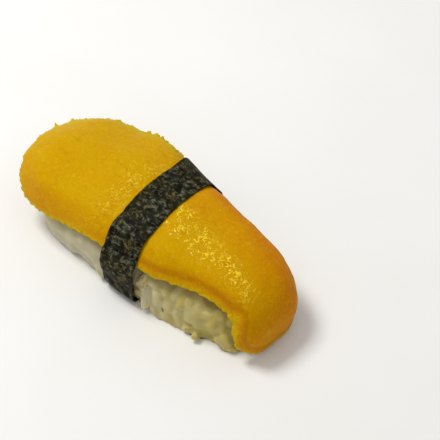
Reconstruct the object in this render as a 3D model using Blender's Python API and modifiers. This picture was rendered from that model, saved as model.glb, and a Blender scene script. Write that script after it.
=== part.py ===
"""Mango nigiri: a slice of ripe mango laid over a pressed block of rice and tied with a strip of nori.

Lengths are in metres and +Z is up. The origin is the middle of the flat base that the rice
rests on. +X runs along the block, towards the narrow end that the slice hangs down over, and
-Y is the side towards which that end bends.

Every piece is shaped by one idea: a sheet wrapped round the block. laid() takes a place on
that sheet (s along it, t across it, and a height above it) and gives the point in space, so
that the rice, the slice and the nori follow each other with an even gap between them.
"""

import math
import random
from dataclasses import dataclass

import bmesh
import bpy
from mathutils import Matrix, Vector, noise
from mathutils.bvhtree import BVHTree

GAP = 0.00035  # between pieces that touch


@dataclass(frozen=True)
class Turn:
    """How the flat top of the block turns down into a wall."""

    start: float  # where the flat top ends, from the origin
    radius: float
    lean: float  # slope of the wall below the level, radians


# The block of rice
TOP_HEIGHT = 0.0140  # of its crest, under the nori
TOP_FALL = 0.0362  # slope of the crest towards the narrow end
TOP_ARCH = 1.52  # how much the crest bows along the block, per metre
TOP_CROWN = 0.0012  # how much lower the long edges of the flat top are, at the nori
FLAT_TAPER = 0.098  # how fast half the width of the flat top narrows towards +X
FLAT_BOW = 5.6  # and how much it bows outwards, per metre
SIDE_DRIFT = 1.3  # how far the narrow end swings towards -Y, per metre
WIDE_DRIFT = 1.5  # and the same for its wide end, past the next value, per metre
WIDE_DRIFT_START = -0.010
WIDE_CROWN = 0.0014  # how much lower still the long edges are there, once past it by this length
WIDE_CROWN_LENGTH = 0.016
FAR_SWELL = 0.0025  # how far the wide half swells out on its far side
FAR_SWELL_X = -0.0148  # where it swells the most
FAR_SWELL_LENGTH = 0.0100  # and how far from there it ends
NEAR_TUCK = 0.0015  # how far its near wall is tucked in at its foot
NEAR_TUCK_X = -0.0120
NEAR_TUCK_LENGTH = 0.0130
NEAR_TUCK_HEIGHT = 0.0100  # above which nothing is tucked in
FOOT_RADIUS = 0.0024  # rounding where the walls meet the base
WALL_INSET = 0.0022  # how far the bare walls lie inside the wrapped sheet, for the grains
SIDE = Turn(0.0080, 0.0075, math.radians(86))  # of the long walls, at the nori
NARROW_END = Turn(0.0232, 0.0091, math.radians(78))
WIDE_END = Turn(-0.0248, 0.0038, math.radians(86))
OVERHANG = Turn(-0.0352, 0.0117, math.radians(44))  # the slice's own turn, past the rice

# How its faces are divided
NEAREST_STEPS = 6  # rounds that find the nearest point of the flat top's edge
STRAIGHT_LENGTHWAYS = 0.8  # share of each long side before the fan round a corner starts
STRAIGHT_ACROSS = 0.55  # and of each end
FIRST_RING = 0.3  # where the wall's first ring lies, in radii of the turn

# The slice of mango
SLICE_START = -0.0393
SLICE_END = 0.0395
SLICE_MIDDLE = (SLICE_START + SLICE_END) / 2
SLICE_HALF = (SLICE_END - SLICE_START) / 2
SLICE_THICKNESS = 0.0048
RIM_THICKNESS = 0.0022
RIM_WIDTH = 0.35  # share of the half width over which the slice thins to its rim
RIM_POWER = 6  # how square the lines of even thickness are; 2 would make them round
NEAR_HANG = 0.0121  # width of the slice from the block's middle line to its -Y edge
NEAR_TAPER = 0.165  # how fast that narrows towards +X
NEAR_WAVE = 0.0011  # and how much it waves, with a crest beside the nori
NEAR_WAVE_CREST = 0.007
NEAR_WAVE_LENGTH = 0.032  # towards +X, and twice as long the other way
NEAR_FLAP = 0.0047  # how much wider it is where it drapes over the narrow end
NEAR_FLAP_START = 0.028
NEAR_FLAP_LENGTH = 0.005
FAR_HANG = 0.01375  # and the same for its +Y edge
FAR_TAPER = 0.195
FAR_BOW = 4.2
FAR_TRIM = 0.0036  # how much narrower it is where the far side swells
WIDE_PINCH = 0.32  # how much the -Y corner of its wide end is rounded in
FAR_PINCH = 0.26  # and the +Y corner of that end
NARROW_PINCH = 0.27  # and those of its narrow end
CORNER_LIFT = 0.0013  # how much its +Y corner there stands up, clear of the block
CORNER_START = (-0.0220, 0.0060)  # from where, lengthways and across
CORNER_LENGTH = 0.0120
RELIEF = 0.00035  # soft unevenness of its upper face
RELIEF_SIZE = 0.009

# The strip of nori
BAND_X = -0.0018
BAND_SKEW = -0.12  # how far it slants, along the block for each metre across
BAND_WIDTH = 0.0099
BAND_THICKNESS = 0.0004
BAND_SINK = 0.0010  # how deep it presses in, under the base
BAND_TOP_SINK = 0.4  # the share of that on top
BAND_EASE = 0.0030  # over what length the press fades out beside it
BAND_FALL = 0.0075  # how far below the slice's rim it reaches the rice
BAND_PARTING = 0.0045  # half the gap between its two ends, under the base
BASE_STRIP = 0.0032  # width of the base left flat in that gap

# Grains of rice
GRAIN_LENGTH = 0.0062
GRAIN_WIDTH = 0.0029
GRAIN_SPACING = 0.0051  # along a row
GRAIN_PITCH = 0.00325  # between rows
GRAIN_ROWS = 5
GRAIN_DEPTH = 0.0006  # of a grain's middle below the wrapped sheet
GRAIN_LENGTHS = (0.85, 1.1)  # shares of that length, drawn at random
GRAIN_WIDTHS = (0.9, 1.1)
GRAIN_STRAY = (0.2, 0.5)  # how far up from its row's line a grain lies, in pitches
GRAIN_SLIDES = 4  # places tried for a grain, each a third of its width lower
GRAIN_SHORTER = 0.7  # the share of its length that a grain in a tight place keeps
GRAIN_ROLL = 1.4  # the most that a grain is turned from lying level, radians
GRAIN_FLATNESS = 0.9  # its thickness as a share of its width
GRAIN_CLEARANCE = 1.12  # grains are tried this much larger against the other pieces
EDGE_STEPS = 50  # to a side, twice, when the rows are paced out
SEED = 7

COLOURS = {
    "mango": (0.62, 0.30, 0.006, 1.0),
    "nori": (0.018, 0.020, 0.010, 1.0),
    "rice": (0.50, 0.47, 0.36, 1.0),
}


def smooth(value: float) -> float:
    """Ease from 0 to 1 as the value goes from 0 to 1."""
    value = min(max(value, 0.0), 1.0)
    return value * value * (3 - 2 * value)


def half_flat(x: float) -> float:
    """Half the width of the block's flat top, at x."""
    return SIDE.start - FLAT_TAPER * x - FLAT_BOW * x * x


def flat_slope(x: float) -> float:
    """How fast that half widens towards +X, at x."""
    return -FLAT_TAPER - 2 * FLAT_BOW * x


def side_way(x: float, side: float) -> Vector:
    """The way straight out of the long edge of the flat top, on the side of that sign."""
    return Vector((-flat_slope(x), math.copysign(1, side))).normalized()


def turned(
    reach: float, top: float, radius: float, lean: float, hangs: bool = False
) -> tuple[float, float, float]:
    """Follow the wall for a length past the edge of the flat top.

    Returns how far out and how far down that leads, and the angle turned through. The path
    is an arc, a straight wall, the arc of the foot, and then the base; what hangs keeps to
    the line of the wall.
    """
    bend = radius * lean
    if reach <= bend:
        angle = reach / radius
        return radius * math.sin(angle), radius * (1 - math.cos(angle)), angle
    out, down = radius * math.sin(lean), radius * (1 - math.cos(lean))
    reach -= bend
    wall = (top - down - FOOT_RADIUS * (1 + math.cos(lean))) / math.sin(lean)
    if reach <= wall or hangs:
        return out + reach * math.cos(lean), down + reach * math.sin(lean), lean
    out, down = out + wall * math.cos(lean), top - FOOT_RADIUS * (1 + math.cos(lean))
    reach -= wall
    foot = FOOT_RADIUS * (math.pi - lean)
    if reach <= foot:
        angle = lean + reach / FOOT_RADIUS
        out += FOOT_RADIUS * (math.sin(angle) - math.sin(lean))
        return out, down + FOOT_RADIUS * (math.cos(lean) - math.cos(angle)), angle
    return out - FOOT_RADIUS * math.sin(lean) - (reach - foot), top, math.pi


def pressed(x: float, y: float) -> float:
    """How deep the nori presses in at a point of the plan."""
    past = abs(x - BAND_X - BAND_SKEW * y) - BAND_WIDTH / 2
    return BAND_SINK * (1 - smooth(past / BAND_EASE))


def edge_of_flat(s: float, t: float, left: Turn) -> tuple[Vector, Vector, float]:
    """Split a place on the sheet into the nearest point of the flat top and the way past it."""
    x = s
    for _ in range(NEAREST_STEPS):
        beyond = max(abs(t) - half_flat(x), 0)
        x = min(max(s + beyond * flat_slope(x), left.start), NARROW_END.start)
    half = half_flat(x)
    y = min(max(t, -half), half)
    past = Vector((s - x, t - y))
    way = past.normalized() if past.length > 0 else Vector((0, 1))
    return Vector((x, y)), way, past.length


def crest(flat: Vector) -> float:
    """Height of the flat top at one of its points."""
    crown = TOP_CROWN + WIDE_CROWN * smooth((WIDE_DRIFT_START - flat.x) / WIDE_CROWN_LENGTH)
    return TOP_HEIGHT - TOP_FALL * flat.x - TOP_ARCH * flat.x**2 - crown * (flat.y / SIDE.start) ** 2


def blended(way: Vector, left: Turn) -> tuple[float, float]:
    """Radius and lean of the wall in a direction of the plan, between the side's and the end's."""
    end = left if way.x < 0 else NARROW_END
    side, along = way.y * way.y, way.x * way.x
    return SIDE.radius * side + end.radius * along, SIDE.lean * side + end.lean * along


def far_swell(x: float) -> float:
    """How much of the far side's swell is reached at x."""
    return smooth(1 - abs(x - FAR_SWELL_X) / FAR_SWELL_LENGTH)


def sideways(place: Vector) -> float:
    """How far a point of the sheet is moved across, for the block's bends, swell and tuck."""
    drift = -SIDE_DRIFT * max(place.x, 0) ** 2 - WIDE_DRIFT * max(WIDE_DRIFT_START - place.x, 0) ** 2
    if place.y > 0:
        return drift + FAR_SWELL * far_swell(place.x) * smooth(place.y / SIDE.start)
    tuck = smooth(1 - abs(place.x - NEAR_TUCK_X) / NEAR_TUCK_LENGTH) * smooth(-place.y / SIDE.start)
    return drift + NEAR_TUCK * tuck * smooth(1 - place.z / NEAR_TUCK_HEIGHT)


def laid(s: float, t: float, lift: float, left: Turn = WIDE_END) -> Vector:
    """The point at a height above a place on the sheet wrapped round the block."""
    flat, way, past = edge_of_flat(s, t, left)
    top = crest(flat)
    out, down, angle = turned(past, top, *blended(way, left), left is OVERHANG)
    foot = flat + way * out
    level = math.cos(angle)
    sink = BAND_TOP_SINK * level if level > 0 else -level
    rise = lift - pressed(foot.x, foot.y) * sink
    place = (foot + way * rise * math.sin(angle)).to_3d()
    place.z = top - down + rise * math.cos(angle)
    place.y += sideways(place)
    return place


def reach_to_base(flat: Vector, way: Vector, left: Turn) -> float:
    """Length of the path from the edge of the flat top to where the foot meets the base."""
    radius, lean = blended(way, left)
    fall = crest(flat) - radius * (1 - math.cos(lean)) - FOOT_RADIUS * (1 + math.cos(lean))
    return radius * lean + fall / math.sin(lean) + FOOT_RADIUS * (math.pi - lean)


def inset(flat: Vector, way: Vector, reach: float) -> float:
    """How far the bare wall lies inside the sheet; none where the nori presses on it."""
    out, _, angle = turned(reach, crest(flat), *blended(way, WIDE_END))
    foot = flat + way * out
    return WALL_INSET * math.sin(angle) * (1 - pressed(foot.x, foot.y) / BAND_SINK)


def gridded_cube(cuts: tuple[int, int, int]) -> bmesh.types.BMesh:
    """A cube of side 2, cut evenly across each axis."""
    mesh = bmesh.new()
    bmesh.ops.create_cube(mesh, size=2)
    for axis, count in enumerate(cuts):
        across = [e for e in mesh.edges if abs(e.verts[0].co[axis] - e.verts[1].co[axis]) > 1]
        bmesh.ops.subdivide_edges(mesh, edges=across, cuts=count, use_grid_fill=True)
    return mesh


def material(name: str, roughness: float) -> bpy.types.Material:
    """A plain material of the named colour."""
    made = bpy.data.materials.new(name)
    made.use_nodes = True
    shader = made.node_tree.nodes["Principled BSDF"]
    shader.inputs["Base Color"].default_value = COLOURS[name]
    shader.inputs["Roughness"].default_value = roughness
    made.diffuse_color = COLOURS[name]
    return made


def new_object(name, mesh, look, collection) -> bpy.types.Object:
    """Make an object of a bmesh, shaded smooth, and link it."""
    bmesh.ops.recalc_face_normals(mesh, faces=mesh.faces)
    data = bpy.data.meshes.new(name)
    mesh.to_mesh(data)
    mesh.free()
    data.shade_smooth()
    data.materials.append(look)
    made = bpy.data.objects.new(name, data)
    collection.objects.link(made)
    return made


def block_place(u: float, v: float) -> tuple[Vector, Vector]:
    """Where a point on the edge of the unit square meets the flat top, and the way out there.

    The middle of each side of the square runs along a side of the flat top, and its corners
    fan round the corners of the flat top.
    """
    ahead = NARROW_END.start if u > 0 else WIDE_END.start
    x = ahead * min(abs(u) / STRAIGHT_LENGTHWAYS, 1)
    y = math.copysign(half_flat(x) * min(abs(v) / STRAIGHT_ACROSS, 1), v)
    if abs(v) == 1:
        share = max(abs(u) - STRAIGHT_LENGTHWAYS, 0) / (1 - STRAIGHT_LENGTHWAYS)
        side = side_way(x, v)
        corner = Vector((math.copysign(1, u), math.copysign(1, v))).normalized()
        return Vector((x, y)), side.slerp(corner, share)
    turn = max(abs(v) - STRAIGHT_ACROSS, 0) / (1 - STRAIGHT_ACROSS) * math.pi / 4
    return Vector((x, y)), Vector((math.copysign(math.cos(turn), u), math.copysign(math.sin(turn), v)))


def block_point(u: float, v: float, w: float) -> Vector:
    """Take a point on the faces of a cube to the faces of the block of rice."""
    ring = max(abs(u), abs(v))
    flat, way = block_place(u / ring, v / ring)
    first = FIRST_RING * blended(way, WIDE_END)[0]
    last = reach_to_base(flat, way, WIDE_END)
    if w >= 1:
        place = (flat + way * first) * ring
        return laid(*place, -inset(flat, way, first * ring))
    if w <= -1:
        place = laid(*(flat + way * last), 0) * ring
        under_strip = smooth((abs(place.y) - BASE_STRIP / 2) / (BAND_PARTING - BASE_STRIP / 2))
        return Vector((place.x, place.y, pressed(place.x, place.y) * under_strip))
    reach = first + (last - first) * (1 - w) / 2
    return laid(*(flat + way * reach), -inset(flat, way, reach))


def slice_edge(s: float, side: float) -> float:
    """Where the slice's edge lies across the sheet, on the side of that sign."""
    if side < 0:
        length = NEAR_WAVE_LENGTH if s > NEAR_WAVE_CREST else 2 * NEAR_WAVE_LENGTH
        wave = math.cos(2 * math.pi * (s - NEAR_WAVE_CREST) / length)
        flap = smooth((s - NEAR_FLAP_START) / NEAR_FLAP_LENGTH)
        return -(NEAR_HANG - NEAR_TAPER * s + NEAR_WAVE * wave + NEAR_FLAP * flap)
    return FAR_HANG - FAR_TAPER * s + FAR_BOW * s * s - FAR_TRIM * far_swell(s)


def slice_place(u: float, v: float) -> tuple[float, float]:
    """Place of a point of the unit square on the slice's outline, whose corners are rounded in."""
    wide_pinch = FAR_PINCH if v > 0 else WIDE_PINCH
    pinch, power = (wide_pinch, 2) if u < 0 else (NARROW_PINCH, 4)
    s = SLICE_MIDDLE + SLICE_HALF * u * math.sqrt(1 - pinch * abs(v) ** power)
    t = slice_edge(s, v) * abs(v) * math.sqrt(1 - pinch * u**4)
    return s, t


def slice_lift(u: float, v: float) -> float:
    """Height of the slice's upper face above the block: full inside, thin at the rim."""
    outwards = (abs(u) ** (1.5 * RIM_POWER) + abs(v) ** RIM_POWER) ** (1 / RIM_POWER)
    near_rim = smooth((outwards - 1 + RIM_WIDTH) / RIM_WIDTH)
    thickness = SLICE_THICKNESS + (RIM_THICKNESS - SLICE_THICKNESS) * near_rim**2
    s, t = slice_place(u, v)
    bump = noise.noise(Vector((s, t, 0)) / RELIEF_SIZE) * RELIEF
    return GAP + thickness + bump * (1 - pressed(s, t) / BAND_SINK)


def corner_lift(s: float, t: float) -> float:
    """How much the slice stands up at the far corner of its wide end."""
    return (
        CORNER_LIFT
        * smooth((CORNER_START[0] - s) / CORNER_LENGTH)
        * smooth((t - CORNER_START[1]) / CORNER_LENGTH)
    )


def slice_point(u: float, v: float, w: float) -> Vector:
    """Take a point on the faces of a cube to the slice, whose rim is rounded."""
    s, t = slice_place(u, v)
    top = slice_lift(u, v)
    middle, half = (top + GAP) / 2, (top - GAP) / 2
    raised = Vector((0, 0, corner_lift(s, t)))
    if max(abs(u), abs(v)) >= 1:
        outwards = Vector((math.copysign(abs(u) ** RIM_POWER, u), math.copysign(abs(v) ** RIM_POWER, v)))
        s, t = Vector((s, t)) + outwards.normalized() * half * math.cos(w * math.pi / 2)
        return laid(s, t, middle + half * math.sin(w * math.pi / 2), OVERHANG) + raised
    return laid(s, t, middle + half * w, OVERHANG) + raised


def band_half_length(x: float) -> float:
    """Length of the strip from the middle of the top to one of its ends, under the base."""
    flat = Vector((x, half_flat(x)))
    wall = flat.y + reach_to_base(flat, side_way(x, 1), WIDE_END)
    return wall + laid(x, wall, 0).y - BAND_PARTING


def band_lift(s: float, t: float) -> float:
    """Height of the strip above the block: over the slice, then down from its rim to the rice."""
    edge = slice_edge(s, t)
    past_rim = max(abs(t) - abs(edge), 0)
    v = math.copysign(min(t / edge, 1), t)
    return slice_lift((s - SLICE_MIDDLE) / SLICE_HALF, v) * (1 - smooth(past_rim / BAND_FALL)) + GAP


def band_point(across: float, along: float) -> Vector:
    """Take a point of the unit square to the inner face of the strip."""
    x = BAND_X + across * BAND_WIDTH / 2
    t = along * band_half_length(x)
    place = laid(x, t, 0)
    s = 2 * x - place.x + BAND_SKEW * place.y
    return laid(s, t, band_lift(s, t))


def make_core(collection) -> bpy.types.Object:
    """The pressed block, without the grains that show."""
    mesh = gridded_cube((19, 8, 6))
    for vert in mesh.verts:
        vert.co = block_point(*vert.co)
    return new_object("rice", mesh, material("rice", 0.45), collection)


def make_slice(collection) -> bpy.types.Object:
    """The slice of mango, wrapped over the block."""
    mesh = gridded_cube((31, 15, 2))
    for vert in mesh.verts:
        vert.co = slice_point(*vert.co)
    return new_object("mango", mesh, material("mango", 0.25), collection)


def make_band(collection) -> bpy.types.Object:
    """The strip of nori: an open surface round the whole, given its thickness outwards."""
    mesh = bmesh.new()
    bmesh.ops.create_grid(mesh, x_segments=4, y_segments=80, size=1)
    for vert in mesh.verts:
        vert.co = band_point(vert.co.x, vert.co.y)
    band = new_object("nori_band", mesh, material("nori", 0.5), collection)
    solid = band.modifiers.new("Thickness", "SOLIDIFY")
    solid.thickness = BAND_THICKNESS
    solid.offset = 1
    return band


def round_the_walls(spacing: float, shift: float) -> list[tuple[Vector, Vector]]:
    """Evenly spaced places round the edge of the flat top, measured half-way down the walls."""
    steps = [step / EDGE_STEPS for step in range(-EDGE_STEPS, EDGE_STEPS)]
    square = [(a, -1) for a in steps] + [(1, a) for a in steps]
    square += [(-u, -v) for u, v in square]
    places = []
    walked, last = -shift, None
    for u, v in square:
        flat, way = block_place(u, v)
        point = laid(*(flat + way * 2 * SIDE.radius), 0)
        walked += (point - last).length if last else 0
        last = point
        if walked >= 0:
            places.append((flat, way))
            walked -= spacing
    return places


def grain_mesh(frame: Matrix, size: Vector, scale: float = 1) -> bmesh.types.BMesh:
    """One grain of about thirty triangles, its long axis along the frame's Z."""
    mesh = bmesh.new()
    bmesh.ops.create_uvsphere(mesh, u_segments=5, v_segments=4, radius=1)
    bmesh.ops.transform(mesh, matrix=frame @ Matrix.Diagonal((*(size * scale / 2), 1)), verts=mesh.verts)
    return mesh


def grain_frame(flat, way, reach, roll) -> Matrix:
    """A grain's frame on the wall: Z along the grain, X out of the wall."""
    place = flat + way * reach
    middle = laid(*place, -GRAIN_DEPTH)
    out = (laid(*place, GRAIN_WIDTH) - middle).normalized()
    level = Vector((0, 0, 1)).cross(out).normalized()
    axis = Matrix.Rotation(roll, 3, out) @ level
    turn = Matrix((out, axis.cross(out), axis)).transposed().to_4x4()
    return Matrix.Translation(middle) @ turn


def settled(frame, size, neighbours) -> tuple[Matrix, Vector] | None:
    """Slide a grain down its wall, and then shorten it, until it clears the other pieces.

    Returns its frame and size, or None where nothing clears them.
    """
    shorter = Vector((size.x, size.y, size.z * GRAIN_SHORTER))
    for tried in (size, shorter):
        for step in range(GRAIN_SLIDES):
            moved = Matrix.Translation((0, 0, -step * GRAIN_WIDTH / 3)) @ frame
            trial = grain_mesh(moved, tried, GRAIN_CLEARANCE)
            lowest = min(vert.co.z for vert in trial.verts)
            bmesh.ops.translate(trial, vec=(0, 0, max(-lowest, 0)), verts=trial.verts)
            tree = BVHTree.FromBMesh(trial)
            trial.free()
            if not any(tree.overlap(other) for other in neighbours):
                return Matrix.Translation((0, 0, max(-lowest, 0))) @ moved, tried
    return None


def make_grains(look, neighbours, collection) -> None:
    """Grains in staggered rows down the walls, each turned at random."""
    draw = random.Random(SEED)
    for row in range(GRAIN_ROWS):
        for flat, way in round_the_walls(GRAIN_SPACING, GRAIN_SPACING / 2 * (row % 2)):
            last = reach_to_base(flat, way, WIDE_END)
            reach = last - GRAIN_PITCH * (row + draw.uniform(*GRAIN_STRAY))
            length = GRAIN_LENGTH * draw.uniform(*GRAIN_LENGTHS)
            width = GRAIN_WIDTH * draw.uniform(*GRAIN_WIDTHS)
            size = Vector((width * GRAIN_FLATNESS, width, length))
            roll = draw.uniform(-GRAIN_ROLL, GRAIN_ROLL)
            clear = settled(grain_frame(flat, way, reach, roll), size, neighbours)
            if clear:
                new_object(f"grain_{len(collection.objects)}", grain_mesh(*clear), look, collection)


def fuse(core, grains) -> None:
    """Join the grains to the block, and keep the one closed outer skin."""
    union = core.modifiers.new("Grains", "BOOLEAN")
    union.operation = "UNION"
    union.operand_type = "COLLECTION"
    union.collection = grains
    union.solver = "EXACT"
    graph = bpy.context.evaluated_depsgraph_get()
    fused = bpy.data.meshes.new_from_object(core.evaluated_get(graph))
    core.modifiers.remove(union)
    core.data = fused
    for grain in list(grains.objects):
        bpy.data.objects.remove(grain)
    bpy.data.collections.remove(grains)
    keep_outer_skin(fused)


def keep_outer_skin(data) -> None:
    """Delete the scraps and the skins of sealed hollows that the union leaves."""
    mesh = bmesh.new()
    mesh.from_mesh(data)
    islands, seen = [], set()
    for start in mesh.verts:
        if start in seen:
            continue
        island, front = {start}, [start]
        while front:
            for edge in front.pop().link_edges:
                for vert in edge.verts:
                    if vert not in island:
                        island.add(vert)
                        front.append(vert)
        seen |= island
        islands.append(island)
    outer = max(islands, key=len)
    bmesh.ops.delete(mesh, geom=[v for v in mesh.verts if v not in outer], context="VERTS")
    mesh.to_mesh(data)
    mesh.free()


def main() -> None:
    """Clear the scene and build the three pieces."""
    for stale in list(bpy.data.objects):
        bpy.data.objects.remove(stale)
    nigiri = bpy.data.collections.new("Mango nigiri")
    grains = bpy.data.collections.new("Grains")
    for collection in (nigiri, grains):
        bpy.context.scene.collection.children.link(collection)
    core = make_core(nigiri)
    wrappings = [make_slice(nigiri), make_band(nigiri)]
    graph = bpy.context.evaluated_depsgraph_get()
    neighbours = [BVHTree.FromObject(piece, graph) for piece in wrappings]
    make_grains(core.data.materials[0], neighbours, grains)
    fuse(core, grains)


main()
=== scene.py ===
"""Looks of a piece of mango nigiri: the slice, the strip of nori and the rice, on a pale floor.

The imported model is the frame. Each piece is made around its own solid of that frame: the slice
and the strip from a copy of it, and the rice as single grains laid over a core of its own.
Lengths are in metres and +Z is up.
"""

from __future__ import annotations

import logging
import math
import random
from dataclasses import dataclass, field
from enum import Enum
from typing import Any

import bmesh
import bpy
import numpy as np
from mathutils import Matrix, Vector, noise
from mathutils.bvhtree import BVHTree
from mathutils.kdtree import KDTree

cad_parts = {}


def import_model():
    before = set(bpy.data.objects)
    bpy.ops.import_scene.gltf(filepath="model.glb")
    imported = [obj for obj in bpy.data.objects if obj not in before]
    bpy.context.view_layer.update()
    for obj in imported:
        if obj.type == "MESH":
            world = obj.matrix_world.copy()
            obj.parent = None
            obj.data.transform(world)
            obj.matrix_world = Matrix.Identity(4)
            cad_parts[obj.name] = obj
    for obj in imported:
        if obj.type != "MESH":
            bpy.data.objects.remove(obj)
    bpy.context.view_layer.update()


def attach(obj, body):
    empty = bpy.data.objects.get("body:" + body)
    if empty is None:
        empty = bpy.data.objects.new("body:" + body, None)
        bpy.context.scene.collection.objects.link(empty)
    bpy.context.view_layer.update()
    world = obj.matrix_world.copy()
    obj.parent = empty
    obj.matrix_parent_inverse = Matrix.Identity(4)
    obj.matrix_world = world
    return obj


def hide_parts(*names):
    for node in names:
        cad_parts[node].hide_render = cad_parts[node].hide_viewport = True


Tree = bpy.types.NodeTree
Piece = bpy.types.Object
MM = 0.001
log = logging.getLogger("mango_nigiri")


class Slot(Enum):
    """Names of the material slots."""

    MANGO = "mango"
    NORI = "nori"
    RICE = "rice"


class Attribute(Enum):
    """The vertex attributes that the finishes read."""

    RIM = "rim_mm"  # how far the slice's cut rim is
    UP = "upward"  # how far the slice's skin faces up
    FAR = "farward"  # and how far it faces +Y
    TONE = "tone"  # one number for each grain of rice
    STAIN = "stain"  # how near the slice is to the rice


class Kind(Enum):
    """The kinds of shader node that the finishes are made of."""

    PLACE = "ShaderNodeTexCoord"
    STORED = "ShaderNodeAttribute"
    MAPPING = "ShaderNodeMapping"
    SPLIT = "ShaderNodeSeparateXYZ"
    VECTOR = "ShaderNodeVectorMath"
    NOISE = "ShaderNodeTexNoise"
    MATH = "ShaderNodeMath"
    RANGE = "ShaderNodeMapRange"
    MIX = "ShaderNodeMix"
    BUMP = "ShaderNodeBump"
    SURFACE = "ShaderNodeBsdfPrincipled"


def linear(colour: str) -> tuple[float, float, float, float]:
    """Turn an sRGB hex value into a linear colour.

    Args:
        colour: Six hex digits after a hash sign.

    Returns:
        Linear red, green and blue, and an alpha of 1.
    """
    parts = [int(colour[i : i + 2], 16) / 255 for i in (1, 3, 5)]
    red, green, blue = (p / 12.92 if p <= 0.04045 else ((p + 0.055) / 1.055) ** 2.4 for p in parts)
    return red, green, blue, 1.0


def add(tree: Tree, kind: Kind, wires: Any, out: int | str = 0, **settings: Any) -> Any:
    """Add a node with its settings, its values and its links.

    Args:
        tree: The material's node tree.
        kind: The node's kind.
        wires: For each input, by order or by name, its value or the socket it is linked from.
        out: The output wanted.
        **settings: Properties of the node itself.

    Returns:
        That output's socket.
    """
    node = tree.nodes.new(kind.value)
    for name, value in settings.items():
        setattr(node, name, value)
    for name, value in wires.items() if isinstance(wires, dict) else enumerate(wires):
        if isinstance(value, bpy.types.NodeSocket):
            tree.links.new(value, node.inputs[name])
        else:
            node.inputs[name].default_value = value
    return node.outputs[out]


def stored(tree: Tree, attribute: Attribute) -> Any:
    """One of the numbers that the mesh carries."""
    return add(tree, Kind.STORED, (), "Fac", attribute_type="GEOMETRY", attribute_name=attribute.value)


def pattern(tree: Tree, place: Any, size: float, out: int | str = 0, **values: Any) -> Any:
    """Noise whose features have a real size."""
    return add(tree, Kind.NOISE, {"Vector": place, "Scale": 1 / size, **values}, out)


def times(tree: Tree, one: Any, other: Any) -> Any:
    """Two values multiplied."""
    return add(tree, Kind.MATH, (one, other), operation="MULTIPLY")


def larger(tree: Tree, one: Any, other: Any) -> Any:
    """The larger of two values."""
    return add(tree, Kind.MATH, (one, other), operation="MAXIMUM")


def distance(tree: Tree, value: Any, middle: float) -> Any:
    """How far a value is from a middle one."""
    off = add(tree, Kind.MATH, (value, -middle), operation="ADD")
    return add(tree, Kind.MATH, (off,), operation="ABSOLUTE")


def slope(tree: Tree, *values: Any) -> Any:
    """A value eased from one range, given by its start and end, to another, or to 0 and 1."""
    return add(tree, Kind.RANGE, values, interpolation_type="SMOOTHSTEP")


def blend(tree: Tree, share: Any, under: Any, over: Any) -> Any:
    """One colour laid over another by a share."""
    return add(tree, Kind.MIX, {0: share, 6: under, 7: over}, 2, data_type="RGBA")


@dataclass(frozen=True)
class Finish:
    """What every finish has: a name and a node tree that its nodes are added to."""

    name: str = "finish"

    def material(self) -> bpy.types.Material:
        """Build the material."""
        made = bpy.data.materials.new(self.name)
        made.use_nodes = True
        tree = made.node_tree
        tree.nodes.remove(tree.nodes["Principled BSDF"])
        surface = self.surface(tree, add(tree, Kind.PLACE, (), "Object"))
        tree.links.new(surface, tree.nodes["Material Output"].inputs["Surface"])
        return made

    def surface(self, tree: Tree, place: Any) -> Any:
        """Add the finish's own nodes.

        Args:
            tree: The material's node tree.
            place: The socket of the object's coordinates.

        Returns:
            The socket of the shader.
        """
        raise NotImplementedError


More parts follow.
